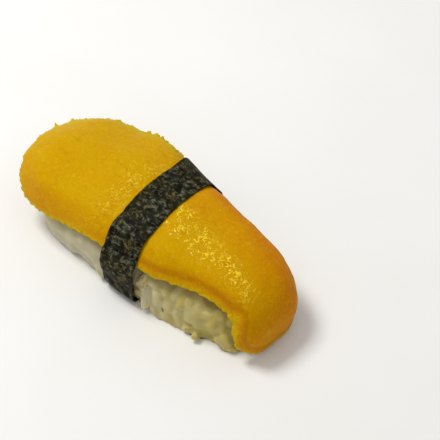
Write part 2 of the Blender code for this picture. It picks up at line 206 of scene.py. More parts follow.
@dataclass(frozen=True)
class MangoFlesh(Finish):
    """Ripe mango flesh, cut with a knife and wet with juice.

    To the eye it is a deep golden yellow, riper and more orange in patches and towards the narrow end,
    and yellow-green at the rim, where it is thin enough to see through. Painted shade turns its flanks
    orange, and darkens a band where the slice bends over the rice near the rim of the narrow half.
    Fine pale fibres stand out of it; where juice has gathered along the near crest they are painted
    lighter as glints, and they break the gloss of the juice into sparks.
    """

    name: str = "mango_flesh_cut"
    gold: str = "#c79900"
    amber_ripe_and_shade: str = "#c67a00"  # riper flesh in patches and at the narrow end, and painted shade on its flanks
    thin: str = "#c4ae08"  # its rim
    # painted shade where the slice bends over the rice, and the darker streaks in the flesh
    streak_and_fold_shade: str = "#ac6c00"
    fibre_and_glint: str = "#ffd428"  # the pale fibres, and the painted glints on them where the juice stands
    patch: float = 6 * MM  # of riper flesh
    streak: float = 1.3 * MM
    streak_squeeze: float = 0.5  # of the pattern lengthways, which draws the streaks out
    fibre: float = 1.45 * MM  # between two fibres, drawn a little coarse so that they show
    fibre_width: float = 0.05  # share of the noise's range that a fibre takes
    fibre_gap: float = 1.3 * MM  # of the gaps that cut fibres short
    lays: tuple[tuple[float, float], ...] = ((0.5, 1.0), (1.9, 0.7))  # their turn and size
    wet_middle: float = -0.2 * MM  # of the band of juice, across the slice
    wet_slant: float = -0.145  # how far it swings towards -Y
    wet_half: float = 5.8 * MM
    wet_taper: float = 0.08  # and how fast it narrows
    wet_ends: tuple[float, float] = (1.0 * MM, 32 * MM)
    wander: float = 5 * MM  # between two swings of the juice's edge
    wander_reach: float = 3 * MM
    dry_spot: float = 2.4 * MM  # of the drier spots in the juice
    puddle: tuple[float, float, float] = (-9.6 * MM, -1.4 * MM, 19 * MM)
    puddle_reach: float = 4.8 * MM
    puddle_squeeze: float = 0.33  # of its distances across, which makes it wide
    narrow_half: tuple[float, float] = (-14 * MM, 6 * MM)  # over which painted shade turns the far side orange, and the band of painted shade at the bend comes in
    torn_half: tuple[float, float] = (-8 * MM, -16 * MM)  # and the far shoulder yellow-green
    fold_shade_at: float = 2.6  # of the band of painted shade at the bend, from the rim, in millimetres like the stored distance

    def surface(self, tree: Tree, place: Any) -> Any:
        """Add the finish's own nodes."""
        drawn = add(tree, Kind.MAPPING, {"Vector": place, "Scale": (self.streak_squeeze, 1, 1)})
        streaks = pattern(tree, drawn, self.streak, Detail=3.0)
        fibres = self._fibres(tree, place)
        wet = self._wetness(tree, place)
        # glints: painted highlights, pale fibres made lighter where the juice stands; they also set the coat
        glints = times(tree, fibres, wet)
        shown = add(tree, Kind.MATH, (fibres, 0.12, glints), operation="MULTIPLY_ADD")
        body = blend(tree, shown, self._colour(tree, place, streaks), linear(self.fibre_and_glint))
        share = add(tree, Kind.RANGE, (wet, 0.0, 1.0, 0.25, 1.0))
        fine = times(tree, fibres, share)
        relief = add(tree, Kind.MATH, (streaks, 0.7, fine), operation="MULTIPLY_ADD")
        skin = add(tree, Kind.BUMP, {"Height": relief, "Distance": 0.25 * MM, "Strength": 0.7})
        juice = add(tree, Kind.BUMP, {"Height": relief, "Distance": 0.35 * MM, "Strength": 1.0})
        return add(
            tree,
            Kind.SURFACE,
            {
                "Base Color": body,
                "Roughness": add(tree, Kind.RANGE, (streaks, 0.3, 0.7, 0.45, 0.6)),
                "IOR": 1.35,
                "Specular IOR Level": 0.12,
                "Specular Tint": linear("#ffd060"),
                "Subsurface Weight": 0.22,
                "Subsurface Radius": (1.0, 0.45, 0.02),
                "Subsurface Scale": 1.5 * MM,
                "Coat Weight": add(tree, Kind.RANGE, (glints, 0.0, 0.8, 0.0, 1.0)),
                "Coat Roughness": 0.12,
                "Coat IOR": 1.34,
                "Normal": skin,
                "Coat Normal": juice,
            },
        )

    def _fibres(self, tree: Tree, place: Any) -> Any:
        """Short curled fibres: stretches of the lines along which a noise crosses its middle."""
        lays = []
        for turn, size in self.lays:
            turned = add(tree, Kind.MAPPING, {"Vector": place, "Rotation": (turn, turn, turn)})
            level = pattern(tree, turned, self.fibre * size, Detail=1.5, Distortion=0.8)
            away = distance(tree, level, 0.5)
            line = add(tree, Kind.RANGE, (away, self.fibre_width, self.fibre_width * 0.3))
            cut = add(tree, Kind.RANGE, (pattern(tree, turned, self.fibre_gap, Detail=2.0), 0.44, 0.52))
            lays.append(times(tree, line, cut))
        return larger(tree, *lays)

    def _wetness(self, tree: Tree, place: Any) -> Any:
        """How much juice stands on it: a band along the near crest, and a puddle past the nori. It sets the
        coat, and where the fibres are painted as glints.
        """
        swing = pattern(tree, place, self.wander, "Color", Detail=1.0)
        swing = add(tree, Kind.VECTOR, (swing, (-0.5, -0.5, -0.5)), operation="ADD")
        reach = (self.wander_reach, self.wander_reach, 0)
        moved = add(tree, Kind.VECTOR, (swing, reach, place), operation="MULTIPLY_ADD")
        axes = add(tree, Kind.SPLIT, (moved,)).node.outputs
        across = add(tree, Kind.MATH, (axes["X"], -self.wet_slant, axes["Y"]), operation="MULTIPLY_ADD")
        across = distance(tree, across, self.wet_middle)
        across = add(tree, Kind.MATH, (axes["X"], self.wet_taper, across), operation="MULTIPLY_ADD")
        band = slope(tree, across, self.wet_half, self.wet_half * 0.45)
        start, end = self.wet_ends
        band = times(tree, band, add(tree, Kind.RANGE, (axes["X"], start - 2 * MM, start)))
        band = times(tree, band, add(tree, Kind.RANGE, (axes["X"], end, end - 3 * MM)))
        from_pool = add(tree, Kind.VECTOR, (moved, self.puddle), operation="SUBTRACT")
        from_pool = add(tree, Kind.VECTOR, (from_pool, (1, self.puddle_squeeze, 0)), operation="MULTIPLY")
        away = add(tree, Kind.VECTOR, (from_pool,), 1, operation="LENGTH")
        pool = add(tree, Kind.RANGE, (away, self.puddle_reach, self.puddle_reach * 0.3, 0.0, 0.6))
        spots = pattern(tree, place, self.dry_spot, Detail=2.0)
        spots = add(tree, Kind.RANGE, (spots, 0.34, 0.5, 0.3, 1.0))
        return times(tree, larger(tree, band, pool), spots)

    def _colour(self, tree: Tree, place: Any, streaks: Any) -> Any:
        """Gold on top, orange in riper patches and at the narrow end, painted shade in orange on the flanks
        and in a band at the bend near the rim, yellow-green at the rim.
        """
        axes = add(tree, Kind.SPLIT, (place,)).node.outputs
        up, far, rim = (stored(tree, kind) for kind in (Attribute.UP, Attribute.FAR, Attribute.RIM))
        patches = pattern(tree, place, self.patch, Detail=3.0)
        ripeness_and_shade = add(tree, Kind.RANGE, (patches, 0.40, 0.66, 0.0, 0.14))
        behind = slope(tree, axes["X"], *self.narrow_half)
        # painted shade: the far side of the narrow half, facing +Y, turns orange
        far_flank_shade = times(tree, add(tree, Kind.RANGE, (far, -0.05, 0.4, 0.0, 0.85)), behind)
        # painted shade: faces that tilt away from the top turn orange
        flank_shade = slope(tree, up, 0.95, 0.3, 0.0, 0.4)
        narrow_end = slope(tree, axes["X"], 8 * MM, 36 * MM, 0.0, 0.22)
        for share in (flank_shade, narrow_end, far_flank_shade):
            ripeness_and_shade = add(tree, Kind.MATH, (ripeness_and_shade, share), operation="ADD")
        flesh = blend(tree, ripeness_and_shade, linear(self.gold), linear(self.amber_ripe_and_shade))
        dark = add(tree, Kind.RANGE, (streaks, 0.42, 0.28, 0.0, 0.3))
        # painted shade: a band parallel to the rim, where the slice bends over the rice
        fold_shade = times(tree, slope(tree, distance(tree, rim, self.fold_shade_at), 1.3, 0.2, 0.0, 0.6), behind)
        flesh = blend(tree, larger(tree, dark, fold_shade), flesh, linear(self.streak_and_fold_shade))
        frayed = slope(tree, up, 0.93, 0.74, 0.0, 0.85)
        frayed = times(tree, frayed, slope(tree, axes["X"], *self.torn_half))
        frayed = times(tree, frayed, slope(tree, far, -0.4, 0.05))
        edge = larger(tree, slope(tree, rim, 1.6, 0.2, 0.0, 0.65), frayed)
        return blend(tree, edge, flesh, linear(self.thin))


@dataclass(frozen=True)
class CookedRice(Finish):
    """Cooked short-grain rice, pressed by hand until its grains stick together.

    To the eye it is ivory and lets light in, moist rather than wet, and stained yellow-green by
    the juice that has run down from the slice, most at its narrow end. One husk is left in it.
    """

    name: str = "cooked_rice"
    pale: str = "#d0cbb0"
    deep: str = "#a59a70"  # its darkest grains
    stain: str = "#b9a850"  # of the juice
    husk: str = "#4a3818"
    husk_at: tuple[float, float, float] = (11.9 * MM, -14.3 * MM, 3.5 * MM)
    husk_reach: float = 1.0 * MM
    starch: float = 0.9 * MM  # of the unevenness of its skin
    wander: float = 5 * MM  # between two swings of the stain's edge

    def surface(self, tree: Tree, place: Any) -> Any:
        """Add the finish's own nodes."""
        tone, near = (stored(tree, kind) for kind in (Attribute.TONE, Attribute.STAIN))
        body = blend(tree, tone, linear(self.deep), linear(self.pale))
        axes = add(tree, Kind.SPLIT, (place,)).node.outputs
        swing = pattern(tree, place, self.wander)
        along = add(tree, Kind.MATH, (swing, 16 * MM, axes["X"]), operation="MULTIPLY_ADD")
        run = slope(tree, along, -2 * MM, 36 * MM, 0.0, 0.8)
        body = blend(tree, larger(tree, run, times(tree, near, 0.45)), body, linear(self.stain))
        away = add(tree, Kind.VECTOR, (place, self.husk_at), 1, operation="DISTANCE")
        ring = add(tree, Kind.RANGE, (away, self.husk_reach, self.husk_reach * 0.6))
        middle = add(tree, Kind.RANGE, (away, self.husk_reach * 0.2, self.husk_reach * 0.6, 0.35, 1.0))
        body = blend(tree, times(tree, ring, middle), body, linear(self.husk))
        grit = pattern(tree, place, self.starch)
        return add(
            tree,
            Kind.SURFACE,
            {
                "Base Color": body,
                "Roughness": 0.42,
                "IOR": 1.38,
                "Specular IOR Level": 0.3,
                "Subsurface Weight": 0.85,
                "Subsurface Radius": (1.0, 0.9, 0.55),
                "Subsurface Scale": 1.7 * MM,
                "Normal": add(tree, Kind.BUMP, {"Height": grit, "Distance": 0.1 * MM, "Strength": 0.5}),
            },
        )


@dataclass(frozen=True)
class RoastedNori(Finish):
    """Roasted nori: seaweed chopped, dried in a thin sheet on a mat, and toasted.

    To the eye it is black-green with a mottle of thin and thick places, and over it lies a felt
    of fine fibres in olive and blue-grey, which catch the light where the sheet is crinkled.
    """

    name: str = "nori_roasted"
    dark: str = "#0a0804"
    green: str = "#211f10"
    olive: str = "#69603a"
    steel: str = "#6f715a"
    mottle: float = 2.4 * MM
    clump: float = 1.2 * MM  # of the places where the felt is thick
    hue_size: float = 4 * MM  # over which it goes from olive to blue-grey
    crinkle: float = 0.9 * MM
    fibre: float = 0.9 * MM
    fibre_width: float = 0.05  # share of the noise's range that a fibre takes
    lays: tuple[tuple[float, float], ...] = ((0.3, 1.0), (1.3, 0.7), (2.4, 1.3))  # turn and size

    def surface(self, tree: Tree, place: Any) -> Any:
        """Add the finish's own nodes."""
        mottle = add(tree, Kind.RANGE, (pattern(tree, place, self.mottle, Detail=4.0), 0.38, 0.62))
        body = blend(tree, mottle, linear(self.dark), linear(self.green))
        felt: Any = 0.0
        for turn, size in self.lays:
            wires = {"Vector": place, "Rotation": (turn, turn * 0.6, turn), "Scale": (0.35, 1, 1)}
            turned = add(tree, Kind.MAPPING, wires)
            level = pattern(tree, turned, self.fibre * size, Detail=1.0, Distortion=0.5)
            line = add(tree, Kind.RANGE, (distance(tree, level, 0.5), self.fibre_width, 0.0))
            felt = larger(tree, felt, line)
        clumps = add(tree, Kind.RANGE, (pattern(tree, place, self.clump, Detail=2.0), 0.43, 0.64, 0.06, 1.0))
        shown = times(tree, felt, clumps)
        hue = add(tree, Kind.RANGE, (pattern(tree, place, self.hue_size), 0.42, 0.58))
        tint = blend(tree, hue, linear(self.olive), linear(self.steel))
        creases = pattern(tree, place, self.crinkle, Detail=3.0)
        relief = add(tree, Kind.MATH, (shown, 0.6, creases), operation="MULTIPLY_ADD")
        return add(
            tree,
            Kind.SURFACE,
            {
                "Base Color": blend(tree, shown, body, tint),
                "Roughness": 0.5,
                "IOR": 1.3,
                "Specular IOR Level": 0.1,
                "Normal": add(tree, Kind.BUMP, {"Height": relief, "Distance": 0.2 * MM, "Strength": 0.8}),
            },
        )


@dataclass(frozen=True)
class PaleBoard(Finish):
    """A painted board: matt and almost white, so that it throws soft light back up."""

    name: str = "painted_board"
    paint: str = "#f3f2ef"
    worn: str = "#ece9e2"
    cloud: float = 40 * MM

    def surface(self, tree: Tree, place: Any) -> Any:
        """Add the finish's own nodes."""
        cloudy = add(tree, Kind.RANGE, (pattern(tree, place, self.cloud), 0.3, 0.7, 0.0, 0.4))
        body = blend(tree, cloudy, linear(self.paint), linear(self.worn))
        return add(tree, Kind.SURFACE, {"Base Color": body, "Roughness": 0.8})


def pick(piece: Piece) -> None:
    """Select one object alone and make it active."""
    bpy.ops.object.select_all(action="DESELECT")
    piece.select_set(True)
    bpy.context.view_layer.objects.active = piece


def merged_copy(node: str, name: str) -> Piece:
    """Copy a solid of the frame into a new piece, its loose triangles merged.

    Args:
        node: The solid's name.
        name: The new piece's name.

    Returns:
        The new piece.
    """
    source = bpy.data.objects[node]
    piece = bpy.data.objects.new(name, source.data.copy())
    bpy.context.scene.collection.objects.link(piece)
    piece.data.materials.clear()
    pick(piece)
    bpy.ops.object.mode_set(mode="EDIT")
    bpy.ops.mesh.select_all(action="SELECT")
    bpy.ops.mesh.remove_doubles(threshold=0.002 * MM)
    bpy.ops.object.mode_set(mode="OBJECT")
    bpy.ops.object.shade_smooth()
    return piece


def rounded_copy(node: str, name: str) -> Piece:
    """Copy a solid of the frame into a new piece whose facets are rounded off.

    Args:
        node: The solid's name.
        name: The new piece's name.

    Returns:
        The new piece.
    """
    piece = merged_copy(node, name)
    bpy.ops.object.mode_set(mode="EDIT")
    bpy.ops.mesh.select_all(action="SELECT")
    bpy.ops.mesh.tris_convert_to_quads(face_threshold=math.pi, shape_threshold=math.pi)
    bpy.ops.object.mode_set(mode="OBJECT")
    with_modifier(piece, "SUBSURF", levels=2, render_levels=2)
    return piece


def with_modifier(piece: Piece, kind: str, **settings: Any) -> None:
    """Add a modifier to a piece and apply it.

    Args:
        piece: The piece.
        kind: The modifier's type.
        **settings: Its properties.
    """
    pick(piece)
    modifier = piece.modifiers.new(kind.title(), kind)
    for name, value in settings.items():
        setattr(modifier, name, value)
    bpy.ops.object.modifier_apply(modifier=modifier.name)


def tree_of(piece: Piece) -> BVHTree:
    """The search tree of a piece that has no live modifiers."""
    mesh = bmesh.new()
    mesh.from_mesh(piece.data)
    made = BVHTree.FromBMesh(mesh)
    mesh.free()
    return made


def eased(value: float) -> float:
    """Ease from 0 to 1 as the value goes from 0 to 1."""
    value = min(max(value, 0.0), 1.0)
    return value * value * (3 - 2 * value)


def weigh(piece: Piece, name: str, weights: list[float]) -> None:
    """Store one weight for each vertex in a vertex group."""
    group = piece.vertex_groups.new(name=name)
    for index, weight in enumerate(weights):
        if weight > 0:
            group.add([index], weight, "REPLACE")


def store(piece: Piece, attribute: Attribute, values: Any) -> None:
    """Store one number for each vertex."""
    made = piece.data.attributes.new(attribute.value, "FLOAT", "POINT")
    made.data.foreach_set("value", np.asarray(values, np.float32))


def clouds(name: str, size: float, depth: int = 1) -> bpy.types.Texture:
    """A soft procedural pattern for displacement, with features of a real size."""
    made = bpy.data.textures.new(name, type="CLOUDS")
    made.noise_scale = size
    made.noise_depth = depth
    return made


@dataclass
class MangoSlice:
    """The slice of mango: its own solid, rounded, thinned to its cut rim, and roughened.

    The rim is where a line into the flesh meets no other face near by. Towards it every point
    is drawn to the upper face, so that the slice ends thin, and the rim itself is torn.
    """

    voxel: float = 0.27 * MM
    growth: float = 0.12 * MM  # made up for what the rounding takes off
    lump: float = 9 * MM
    lump_depth: float = 0.45 * MM
    ripple: float = 1.5 * MM
    ripple_depth: float = 0.2 * MM
    ripple_stretch: float = 1.7
    nori_gap: float = 0.4 * MM  # flesh nearer the nori than this isn't roughened
    clear_of_nori: float = 1.6 * MM  # and it is fully so this much further off
    rim_depth: float = 6.5 * MM  # flesh deeper than this lies behind the rim
    rim_reach: float = 2.4 * MM  # and the lower face is no further from the rim than this
    rim_share: float = 0.42  # of the thickness, left at the rim
    wide_share: float = 0.26  # and at the wide end
    rim_taper: float = 5.0 * MM
    tear: float = 0.4 * MM
    tear_size: float = 1.3 * MM
    tear_reach: float = 1.3 * MM
    ragged: float = 0.5 * MM  # the same where the slice stands clear of the rice
    flap: float = 0.6 * MM  # the longest shreds there
    spread: float = 0.5 * MM  # how far the rim is pressed out there
    fray: float = 0.55 * MM  # roughness of the shoulder there, its size
    fray_depth: float = 0.45 * MM
    tuft: float = 1.7 * MM  # and the tufts that stand up from it
    tuft_height: float = 0.7 * MM
    ragged_from: float = -8 * MM  # where it starts to stand clear, towards -X
    ragged_fade: float = 6 * MM
    fray_fade: float = 5 * MM
    clear_of_floor: float = 0.1 * MM
    piece: Piece | None = field(default=None, init=False)

    def build(self) -> None:
        """Make the mesh."""
        self.piece = rounded_copy("mango", "mango_slice")
        with_modifier(self.piece, "DISPLACE", strength=self.growth, mid_level=0.0)
        with_modifier(self.piece, "REMESH", mode="VOXEL", voxel_size=self.voxel, use_smooth_shade=True)
        with_modifier(self.piece, "SMOOTH", factor=0.5, iterations=8)
        nori = tree_of(bpy.data.objects["nori_band"])
        self._free = [
            eased((nori.find_nearest(vert.co)[3] - self.nori_gap) / self.clear_of_nori)
            for vert in self.piece.data.vertices
        ]
        weigh(self.piece, "free", self._free)
        self._lump(clouds("lumps", self.lump), self.lump_depth, 1.0)
        self._measure()
        self._thin_to_rim()
        self._lump(clouds("ripples", self.ripple, 2), self.ripple_depth, self.ripple_stretch)
        with_modifier(self.piece, "SMOOTH", factor=0.5, iterations=1)
        self._fray()
        self.piece.vertex_groups.clear()
        log.info("mango slice: %d faces", len(self.piece.data.polygons))

    def _lump(self, texture: bpy.types.Texture, depth: float, stretch: float) -> None:
        """Displace the flesh by a pattern that is drawn out along the slice.

        Args:
            texture: The pattern.
            depth: From its lowest to its highest, in metres.
            stretch: How much longer it is along the slice.
        """
        bpy.ops.object.empty_add(location=(0, 0, 0))
        guide = bpy.context.object
        guide.scale = (stretch, 1, 1)
        bpy.context.view_layer.update()
        with_modifier(
            self.piece,
            "DISPLACE",
            texture=texture,
            texture_coords="OBJECT",
            texture_coords_object=guide,
            strength=depth,
            mid_level=0.5,
            vertex_group="free",
        )
        bpy.data.objects.remove(guide)

    def _measure(self) -> None:
        """Find the rim, and store for the finish how far it is and which way the skin faces."""
        vertices = self.piece.data.vertices
        own = tree_of(self.piece)
        rice = tree_of(bpy.data.objects["rice"])
        lower = KDTree(len(vertices))
        for vert in vertices:
            above = vert.co - rice.find_nearest(vert.co)[0]
            if vert.normal.dot(above) < 0:
                lower.insert(vert.co, vert.index)
        lower.balance()
        rim = KDTree(len(vertices))
        for vert in vertices:
            inwards = -vert.normal
            hit = own.ray_cast(vert.co + inwards * 0.05 * MM, inwards, self.rim_depth)
            if hit[0] is None and lower.find(vert.co)[2] < self.rim_reach:
                rim.insert(vert.co, vert.index)
        rim.balance()
        nearest = [rim.find(vert.co) for vert in vertices]
        self._rim_ways = [vertices[index].normal.copy() for _, index, _ in nearest]
        self._from_rim = [away for _, _, away in nearest]
        store(self.piece, Attribute.RIM, np.array(self._from_rim) / MM)
        store(self.piece, Attribute.UP, [vert.normal.z for vert in vertices])
        store(self.piece, Attribute.FAR, [vert.normal.y for vert in vertices])

    def _thin_to_rim(self) -> None:
        """Draw the flesh near the rim to the upper face, and tear the rim."""
        upper = self._upper_face()
        for vert, way, away in zip(self.piece.data.vertices, self._rim_ways, self._from_rim):
            if away > self.rim_taper:
                continue
            clear = eased((self.ragged_from - vert.co.x) / self.ragged_fade)
            least = self.rim_share + (self.wide_share - self.rim_share) * clear
            share = least + (1 - least) * eased(away / self.rim_taper)
            skin = upper.find_nearest(vert.co)[0]
            place = skin + (vert.co - skin) * share
            torn = self._tear_at(vert.co, clear * (0.35 + 0.65 * eased((way.y + 0.2) / 0.5)))
            torn *= 1 - eased(away / self.tear_reach)
            vert.co = place + way * torn * self._free[vert.index]
        self.piece.data.update()

    def _fray(self) -> None:
        """Roughen the shoulder of the wide half, where the knife has torn the fibres."""
        ways = [vert.normal.copy() for vert in self.piece.data.vertices]
        for vert, way in zip(self.piece.data.vertices, ways):
            shoulder = eased((0.88 - way.z) / 0.25)
            shoulder *= eased((self.ragged_from - vert.co.x) / self.fray_fade)
            shoulder *= eased((way.y + 0.15) / 0.4) * self._free[vert.index]
            if shoulder > 0:
                fuzz = noise.noise(vert.co / self.fray) + 0.5 * noise.noise(vert.co / (self.fray * 4))
                tuft = max(noise.noise(vert.co / self.tuft + Vector((2, 9, 4))) - 0.3, 0) * 4
                vert.co += way * (fuzz * self.fray_depth + tuft * self.tuft_height) * shoulder
            vert.co.z = max(vert.co.z, self.clear_of_floor)
        self.piece.data.update()

    def _tear_at(self, place: Vector, clear: float) -> float:
        """How far the rim is pulled out at a place; negative where it is torn back.

        Args:
            place: The place.
            clear: From 0 where the slice lies on the rice to 1 where it stands clear of it.

        Returns:
            The distance, in metres.
        """
        pull = noise.noise(place / self.tear_size) + 0.7 * noise.noise(place / (self.tear_size * 0.45))
        shred = max(noise.noise(place / (self.tear_size * 1.3) + Vector((7, 3, 5))) - 0.25, 0) * 3
        torn = pull * (self.tear + (self.ragged - self.tear) * clear)
        return torn + (shred * self.flap + self.spread) * clear

    def _upper_face(self) -> BVHTree:
        """The search tree of the faces that look away from the rice."""
        rice = tree_of(bpy.data.objects["rice"])
        data = self.piece.data
        faces = []
        for face in data.polygons:
            way = face.center - rice.find_nearest(face.center)[0]
            if face.normal.dot(way.normalized()) > 0.5:
                faces.append(list(face.vertices))
        return BVHTree.FromPolygons([vert.co.copy() for vert in data.vertices], faces)

    def dress(self) -> None:
        """Give it its finish and its place in the frame."""
        self.piece.data.materials.append(MangoFlesh().material())
        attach(self.piece, "root")
        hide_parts("mango")


@dataclass
class NoriStrip:
    """The strip of nori: the outer face of its solid, made thin, crinkled and nibbled at its edges."""

    sink: float = 0.16 * MM  # of its outer face below the solid's
    thickness: float = 0.18 * MM
    crinkle: float = 2.2 * MM
    crinkle_depth: float = 0.26 * MM
    nibble: float = 0.12 * MM
    nibble_size: float = 1.1 * MM
    axis_height: float = 8 * MM  # of the line that its outer face looks away from
    outward: float = 0.35  # the least that a face of the outer side looks away from it
    corner: tuple[float, float, float] = (-8.4 * MM, 13.5 * MM, 17.2 * MM)  # the one that lifts
    corner_reach: float = 5.0 * MM
    corner_lift: float = 0.5 * MM
    corner_way: tuple[float, float, float] = (-0.3, 0.35, 0.9)
    piece: Piece | None = field(default=None, init=False)

    def build(self) -> None:
        """Make the mesh."""
        self.piece = merged_copy("nori_band", "nori_strip")
        self._keep_outer_face()
        bpy.ops.object.mode_set(mode="EDIT")
        bpy.ops.mesh.select_all(action="SELECT")
        bpy.ops.mesh.subdivide(number_cuts=3, smoothness=0.8)
        bpy.ops.object.mode_set(mode="OBJECT")
        with_modifier(self.piece, "SMOOTH", factor=0.5, iterations=3)
        self._shape_edges()
        with_modifier(self.piece, "DISPLACE", direction="NORMAL", strength=-self.sink, mid_level=0.0)
        with_modifier(
            self.piece,
            "DISPLACE",
            texture=clouds("crinkles", self.crinkle, 2),
            texture_coords="LOCAL",
            strength=self.crinkle_depth,
            mid_level=0.45,
        )
        with_modifier(
            self.piece, "SOLIDIFY", thickness=self.thickness, offset=-1.0, use_even_offset=True
        )
        log.info("nori strip: %d faces", len(self.piece.data.polygons))

    def _keep_outer_face(self) -> None:
        """Delete all of the solid but the face that looks away from the rice."""
        mesh = bmesh.new()
        mesh.from_mesh(self.piece.data)
        inner = []
        for face in mesh.faces:
            middle = face.calc_center_median()
            out = Vector((0, middle.y, middle.z - self.axis_height)).normalized()
            if face.normal.dot(out) < self.outward:
                inner.append(face)
        bmesh.ops.delete(mesh, geom=inner, context="FACES")
        mesh.to_mesh(self.piece.data)
        mesh.free()

    def _shape_edges(self) -> None:
        """Nibble the cut edges, and lift the stiff corner that stands off the far crest."""
        mesh = bmesh.new()
        mesh.from_mesh(self.piece.data)
        corner = Vector(self.corner)
        for vert in mesh.verts:
            if vert.is_boundary:
                vert.co.x += self.nibble * noise.noise(vert.co / self.nibble_size)
            lift = 1 - eased((vert.co - corner).length / self.corner_reach)
            vert.co += Vector(self.corner_way) * lift * self.corner_lift
        mesh.to_mesh(self.piece.data)
        mesh.free()

    def dress(self) -> None:
        """Give it its finish and its place in the frame."""
        self.piece.data.materials.append(RoastedNori().material())
        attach(self.piece, "root")
        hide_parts("nori_band")


@dataclass
class RiceBlock:
    """The block of rice: single grains laid over a core of their own, and pressed together.

    Towards the wide end they are pressed until they blend, and no single grain is left there.
    """

    core_voxel: float = 0.7 * MM
    closing: float = 1.3 * MM  # dips of the solid up to twice this wide are filled
    core_depth: float = 0.75 * MM  # of the core below the solid's face, where grains show
    foot: float = 2.6 * MM  # the height below which its walls are filled out
    foot_from: float = -34 * MM  # towards +X of which they are
    foot_sag: float = 0.8 * MM  # how far the lowest grains sink, until they stand on the base
    floor: float = 0.02 * MM  # the lowest that anything reaches
    length: float = 6.2 * MM  # of a grain
    width: float = 2.3 * MM
    height: float = 1.8 * MM
    spacing: float = 1.8 * MM  # the least between two grains' middles
    spacing_squash: float = 0.45  # what a distance up or down counts for in that
    steepest: float = 0.86  # faces of the core that look up more than this get no grains
    upright_share: float = 0.88  # of the grains, which stand nearly upright
    upright_stray: float = 0.28  # in radians
    proud: tuple[float, float] = (-0.35 * MM, 0.3 * MM)  # of a grain's middle above the core
    shares: tuple[float, ...] = (1.0, 0.75, 0.55)  # of its length, tried where it is tight
    slides: int = 5
    slide: float = 0.5 * MM
    press: float = 1.0 * MM  # how far the grains may stand off the core
    tries: int = 26000
    seed: int = 11
    body_depth: float = 0.35 * MM  # of the pressed body below the single grains
    press_voxel: float = 0.4 * MM  # of the soft body between the grains
    voxel: float = 0.22 * MM  # and of both together
    most_faces: int = 180000
    fuse_rounds: int = 4  # of smoothing, over all of the pressed body
    soft_from: float = -3 * MM  # towards -X the grains are pressed until they blend
    soft_fade: float = 4 * MM
    soft_rounds: int = 30
    soft_sink: float = 0.8 * MM  # how much deeper they lie there
    tone_reach: float = 0.6 * MM  # how far a grain passes its tone on
    gap_tone: float = 0.4  # of what is between the grains
    soft_tone: float = 0.45  # that all of it tends to where they blend
    stain_reach: float = 3 * MM
    piece: Piece | None = field(default=None, init=False)

    def build(self, wrappings: list[Piece]) -> None:
        """Make the core and the grains, and press them together.

        Args:
            wrappings: The pieces that the grains stay clear of.
        """
        core = merged_copy("rice", "rice_core")
        with_modifier(core, "DISPLACE", strength=self.closing, mid_level=0.0)
        with_modifier(core, "REMESH", mode="VOXEL", voxel_size=self.core_voxel, use_smooth_shade=True)
        with_modifier(core, "DISPLACE", strength=-self.closing, mid_level=0.0)
        with_modifier(core, "SMOOTH", factor=0.5, iterations=10)
        weigh(core, "firm", [1 - self._softness(vert.co) for vert in core.data.vertices])
        with_modifier(core, "DISPLACE", strength=-self.core_depth, mid_level=0.0, vertex_group="firm")
        self._fill_foot(core)
        grain = self._model_grain()
        self.piece, tones = self._lay_grains(core, grain, [tree_of(piece) for piece in wrappings])
        bpy.data.objects.remove(grain)
        log.info("rice: %d grains", tones[-1][0] + 1)
        self._press(core, tones)
        log.info("rice: %d faces", len(self.piece.data.polygons))

    def _softness(self, place: Vector) -> float:
        """How far the grains have blended at a place, from 0 to 1."""
        return eased((self.soft_from - place.x) / self.soft_fade)

    def _fill_foot(self, core: Piece) -> None:
        """Bring the core's foot back down to the floor, and fill out its rounded walls there."""
        nori = tree_of(bpy.data.objects["nori_band"])
        ways = [Vector((vert.normal.x, vert.normal.y, 0)) for vert in core.data.vertices]
        for vert, way in zip(core.data.vertices, ways):
            gap = self.core_depth * (1 - self._softness(vert.co))
            vert.co.z = max(vert.co.z - gap * (1 - eased((vert.co.z - gap) / self.foot)), self.floor)
            turn = min(max((self.foot - vert.co.z) / self.foot, 0.0), 1.0)
            share = 0.8 * eased(nori.find_nearest(vert.co)[3] / (5 * MM))
            share *= eased((vert.co.x - self.foot_from) / (6 * MM))
            vert.co += way * self.foot * (1 - math.sqrt(1 - turn * turn)) * share
        core.data.update()

    def _model_grain(self) -> Piece:
        """Model one plump grain of unit size, long along Z, blunt, bent and with a germ notch."""
        bpy.ops.object.select_all(action="DESELECT")
        bpy.ops.mesh.primitive_uv_sphere_add(segments=14, ring_count=11, radius=0.5)
        grain = bpy.context.object
        for vert in grain.data.vertices:
            up = vert.co.z * 2
            blunt = (1 - abs(up) ** 3.2) ** (1 / 3.2) if abs(up) < 1 else 0.0
            round_end = math.sqrt(max(1 - up * up, 0.0)) or 1.0
            vert.co.x = vert.co.x * blunt / round_end * (1 - 0.08 * up) + 0.05 * up * up
            vert.co.y *= blunt / round_end * (1 - 0.08 * up)
        pick(grain)
        for vert in grain.data.vertices:
            vert.select = vert.co.z > 0.36 and vert.co.x > 0.1
        bpy.ops.object.mode_set(mode="EDIT")
        bpy.ops.transform.translate(value=(-0.08, 0, -0.06))
        bpy.ops.object.mode_set(mode="OBJECT")
        return grain

